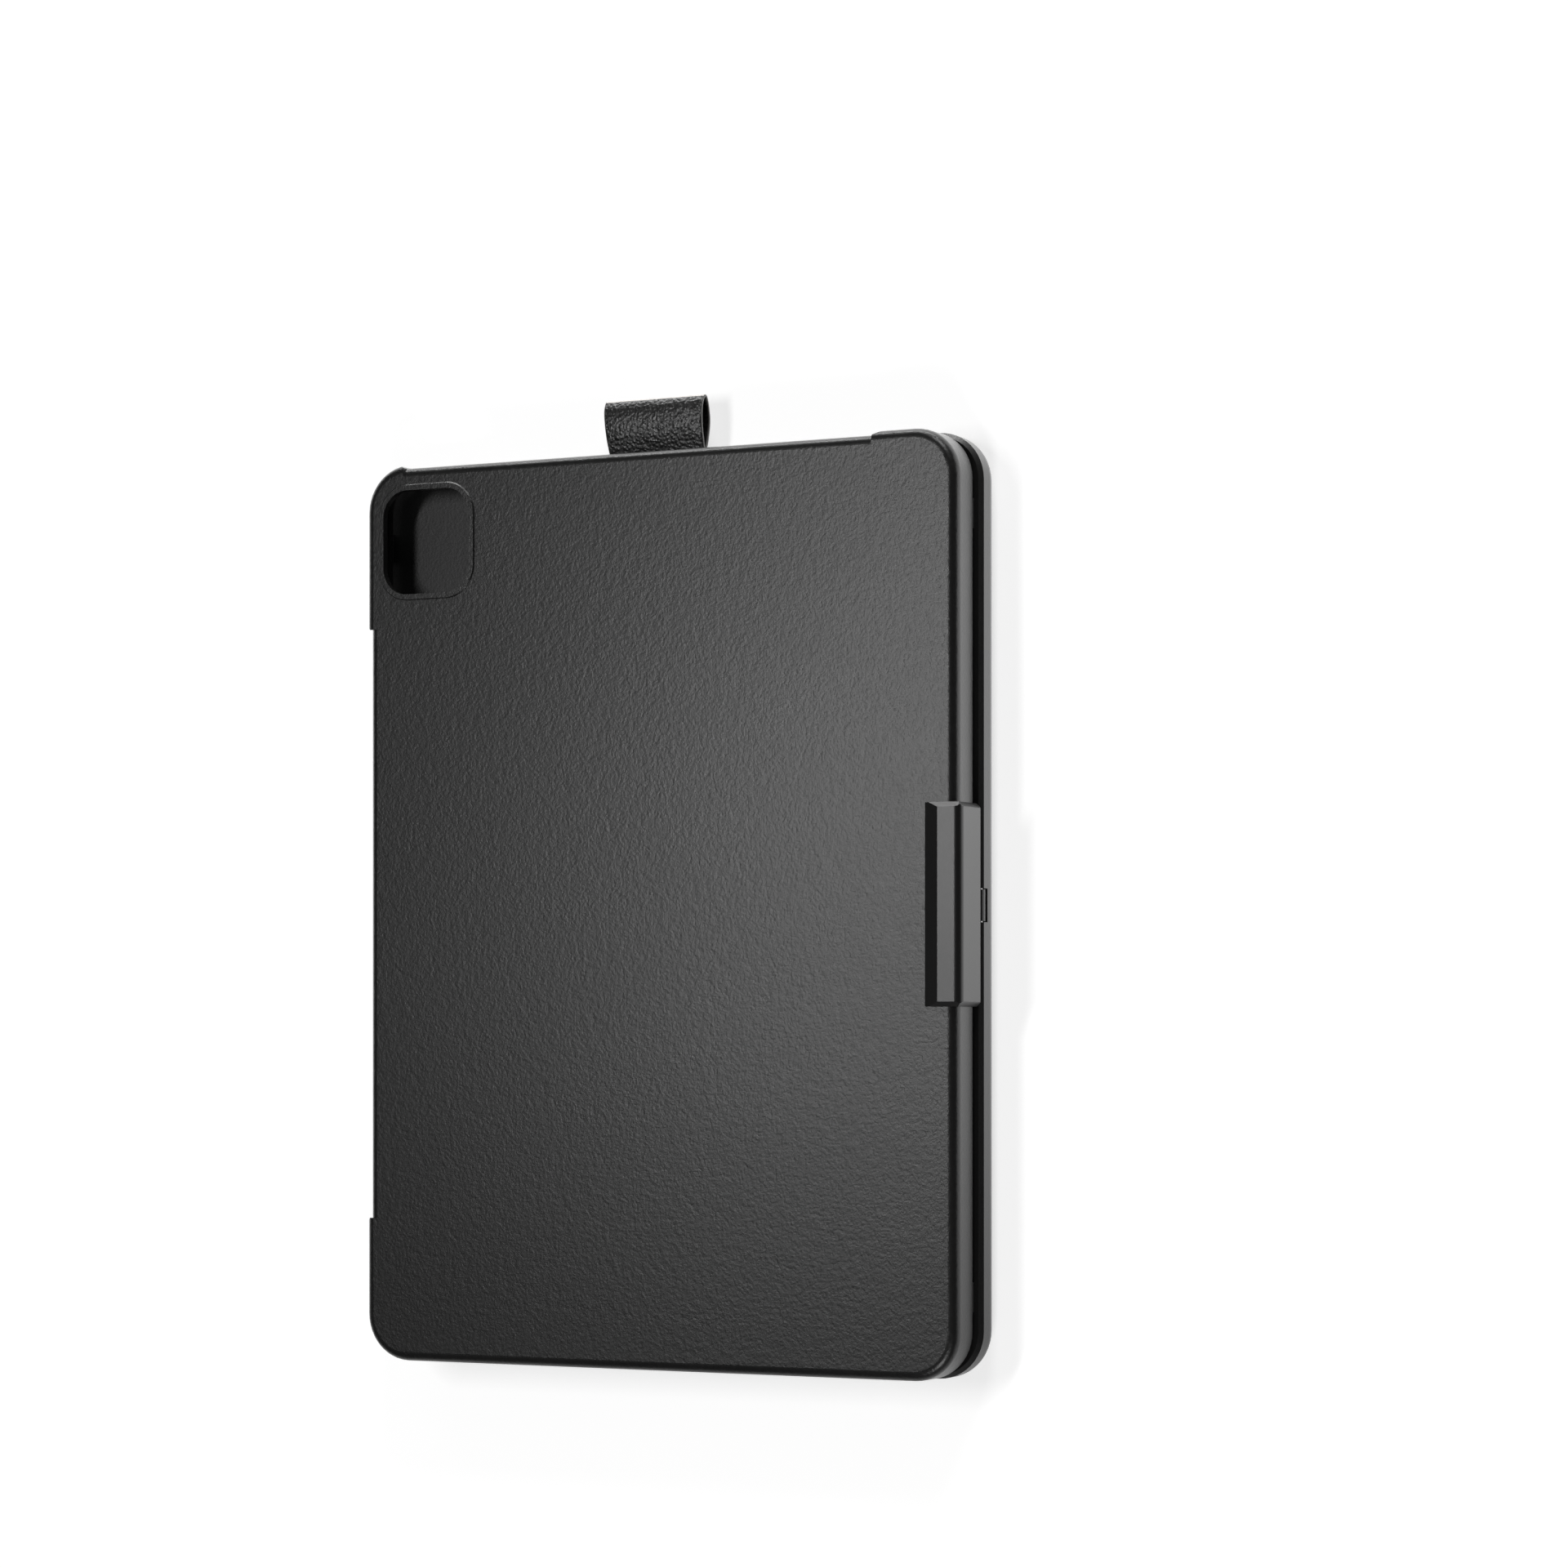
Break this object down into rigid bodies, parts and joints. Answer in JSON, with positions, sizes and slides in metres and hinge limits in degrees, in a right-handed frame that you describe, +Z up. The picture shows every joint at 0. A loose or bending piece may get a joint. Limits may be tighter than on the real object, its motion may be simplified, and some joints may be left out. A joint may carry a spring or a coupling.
{
  "type": "tablet keyboard case",
  "caption": "Clamshell tablet case with a built-in keyboard and touchpad, hinged lid tray, camera window and a leather pencil loop.",
  "frame": {"origin": "centre of the base's outline, on the surface that the four feet stand on", "axes": "+X along the long side, away from the pencil loop; +Y towards the hinge edge; +Z up, from the base to the lid"},
  "size_m": [0.268, 0.1859, 0.0248],
  "materials": {
    "lid_plastic": "fine matte texture",
    "hinge_plastic": "smooth satin",
    "base_plastic": "fine matte texture",
    "button_plastic": "satin",
    "key_plastic": "matte keycap",
    "touchpad_surface": "smooth matte film",
    "foot_rubber": "matte silicone",
    "sheet_rubber": "silicone sheet",
    "loop_leather": "pebble-grain coated leather",
    "steel": "stamped steel",
    "screw_steel": "black zinc",
    "port_steel": "drawn steel shell",
    "board": "solder-masked board",
    "cell_foil": "laminate pouch foil",
    "light_lens": "frosted lens"
  },
  "bodies": {
    "base": {"base_bottom_cover": "base_plastic", "base_top_deck": "base_plastic", "rubber_feet": "foot_rubber", "case_screws": "screw_steel", "deck_bumpers": "foot_rubber", "key_membrane": "sheet_rubber", "key_plate": "steel", "touchpad_bracket": "steel", "main_circuit_board": "board", "touchpad_switch": "board", "battery_cells": "cell_foil", "sleep_magnets": "steel", "status_light": "light_lens", "usb_c_port": "port_steel", "power_switch_body": "board", "pencil_loop": "loop_leather", "hinge_shaft": "steel", "hinge_brackets": "steel", "bracket_screws": "screw_steel"},
    "lid": {"lid_shell": "lid_plastic", "hinge_arm": "steel", "hinge_arm_screws": "screw_steel", "hinge_cover": "hinge_plastic"},
    "volume_up_button": {"volume_up_button": "button_plastic"},
    "volume_down_button": {"volume_down_button": "button_plastic"},
    "power_switch_knob": {"power_switch_knob": "button_plastic"},
    "touchpad_plate": {"touchpad_plate": "touchpad_surface"},
    "key_escape": {"key_escape": "key_plastic"},
    "keys_function_row": {"keys_function_row": "key_plastic"},
    "keys_number_row": {"keys_number_row": "key_plastic"},
    "key_backspace": {"key_backspace": "key_plastic"},
    "key_tab": {"key_tab": "key_plastic"},
    "keys_upper_letter_row": {"keys_upper_letter_row": "key_plastic"},
    "key_caps_lock": {"key_caps_lock": "key_plastic"},
    "keys_home_letter_row": {"keys_home_letter_row": "key_plastic"},
    "key_enter": {"key_enter": "key_plastic"},
    "key_left_shift": {"key_left_shift": "key_plastic"},
    "keys_lower_letter_row": {"keys_lower_letter_row": "key_plastic"},
    "key_right_shift": {"key_right_shift": "key_plastic"},
    "keys_modifier_row": {"keys_modifier_row": "key_plastic"},
    "key_space": {"key_space": "key_plastic"},
    "key_arrow_left": {"key_arrow_left": "key_plastic"},
    "key_arrow_up": {"key_arrow_up": "key_plastic"},
    "key_arrow_down": {"key_arrow_down": "key_plastic"},
    "key_arrow_right": {"key_arrow_right": "key_plastic"}
  },
  "joints": [
    {"name": "lid_fold", "type": "hinge", "parent": "base", "child": "lid", "pos_m": [0, 0.09125, 0.0096], "axis": [-1, 0, 0], "range_deg": [0, 115]},
    {"name": "volume_up_button_press", "type": "slide", "parent": "lid", "child": "volume_up_button", "axis": [0, 1, 0], "range_m": [0, 0.0005], "stiffness_N_per_m": 300, "springref_m": -0.002},
    {"name": "volume_down_button_press", "type": "slide", "parent": "lid", "child": "volume_down_button", "axis": [0, 1, 0], "range_m": [0, 0.0005], "stiffness_N_per_m": 300, "springref_m": -0.002},
    {"name": "power_switch_slide", "type": "slide", "parent": "base", "child": "power_switch_knob", "axis": [0, 1, 0], "range_m": [0, 0.003]},
    {"name": "touchpad_click", "type": "slide", "parent": "base", "child": "touchpad_plate", "axis": [0, 0, -1], "range_m": [0, 0.00025], "stiffness_N_per_m": 300, "springref_m": -0.002},
    {"name": "key_escape_press", "type": "slide", "parent": "base", "child": "key_escape", "axis": [0, 0, -1], "range_m": [0, 0.001], "stiffness_N_per_m": 100, "springref_m": -0.002},
    {"name": "keys_function_row_press", "type": "slide", "parent": "base", "child": "keys_function_row", "axis": [0, 0, -1], "range_m": [0, 0.001], "stiffness_N_per_m": 100, "springref_m": -0.002},
    {"name": "keys_number_row_press", "type": "slide", "parent": "base", "child": "keys_number_row", "axis": [0, 0, -1], "range_m": [0, 0.001], "stiffness_N_per_m": 100, "springref_m": -0.002},
    {"name": "key_backspace_press", "type": "slide", "parent": "base", "child": "key_backspace", "axis": [0, 0, -1], "range_m": [0, 0.001], "stiffness_N_per_m": 100, "springref_m": -0.002},
    {"name": "key_tab_press", "type": "slide", "parent": "base", "child": "key_tab", "axis": [0, 0, -1], "range_m": [0, 0.001], "stiffness_N_per_m": 100, "springref_m": -0.002},
    {"name": "keys_upper_letter_row_press", "type": "slide", "parent": "base", "child": "keys_upper_letter_row", "axis": [0, 0, -1], "range_m": [0, 0.001], "stiffness_N_per_m": 100, "springref_m": -0.002},
    {"name": "key_caps_lock_press", "type": "slide", "parent": "base", "child": "key_caps_lock", "axis": [0, 0, -1], "range_m": [0, 0.001], "stiffness_N_per_m": 100, "springref_m": -0.002},
    {"name": "keys_home_letter_row_press", "type": "slide", "parent": "base", "child": "keys_home_letter_row", "axis": [0, 0, -1], "range_m": [0, 0.001], "stiffness_N_per_m": 100, "springref_m": -0.002},
    {"name": "key_enter_press", "type": "slide", "parent": "base", "child": "key_enter", "axis": [0, 0, -1], "range_m": [0, 0.001], "stiffness_N_per_m": 100, "springref_m": -0.002},
    {"name": "key_left_shift_press", "type": "slide", "parent": "base", "child": "key_left_shift", "axis": [0, 0, -1], "range_m": [0, 0.001], "stiffness_N_per_m": 100, "springref_m": -0.002},
    {"name": "keys_lower_letter_row_press", "type": "slide", "parent": "base", "child": "keys_lower_letter_row", "axis": [0, 0, -1], "range_m": [0, 0.001], "stiffness_N_per_m": 100, "springref_m": -0.002},
    {"name": "key_right_shift_press", "type": "slide", "parent": "base", "child": "key_right_shift", "axis": [0, 0, -1], "range_m": [0, 0.001], "stiffness_N_per_m": 100, "springref_m": -0.002},
    {"name": "keys_modifier_row_press", "type": "slide", "parent": "base", "child": "keys_modifier_row", "axis": [0, 0, -1], "range_m": [0, 0.001], "stiffness_N_per_m": 100, "springref_m": -0.002},
    {"name": "key_space_press", "type": "slide", "parent": "base", "child": "key_space", "axis": [0, 0, -1], "range_m": [0, 0.001], "stiffness_N_per_m": 100, "springref_m": -0.002},
    {"name": "key_arrow_left_press", "type": "slide", "parent": "base", "child": "key_arrow_left", "axis": [0, 0, -1], "range_m": [0, 0.001], "stiffness_N_per_m": 100, "springref_m": -0.002},
    {"name": "key_arrow_up_press", "type": "slide", "parent": "base", "child": "key_arrow_up", "axis": [0, 0, -1], "range_m": [0, 0.001], "stiffness_N_per_m": 100, "springref_m": -0.002},
    {"name": "key_arrow_down_press", "type": "slide", "parent": "base", "child": "key_arrow_down", "axis": [0, 0, -1], "range_m": [0, 0.001], "stiffness_N_per_m": 100, "springref_m": -0.002},
    {"name": "key_arrow_right_press", "type": "slide", "parent": "base", "child": "key_arrow_right", "axis": [0, 0, -1], "range_m": [0, 0.001], "stiffness_N_per_m": 100, "springref_m": -0.002}
  ]
}
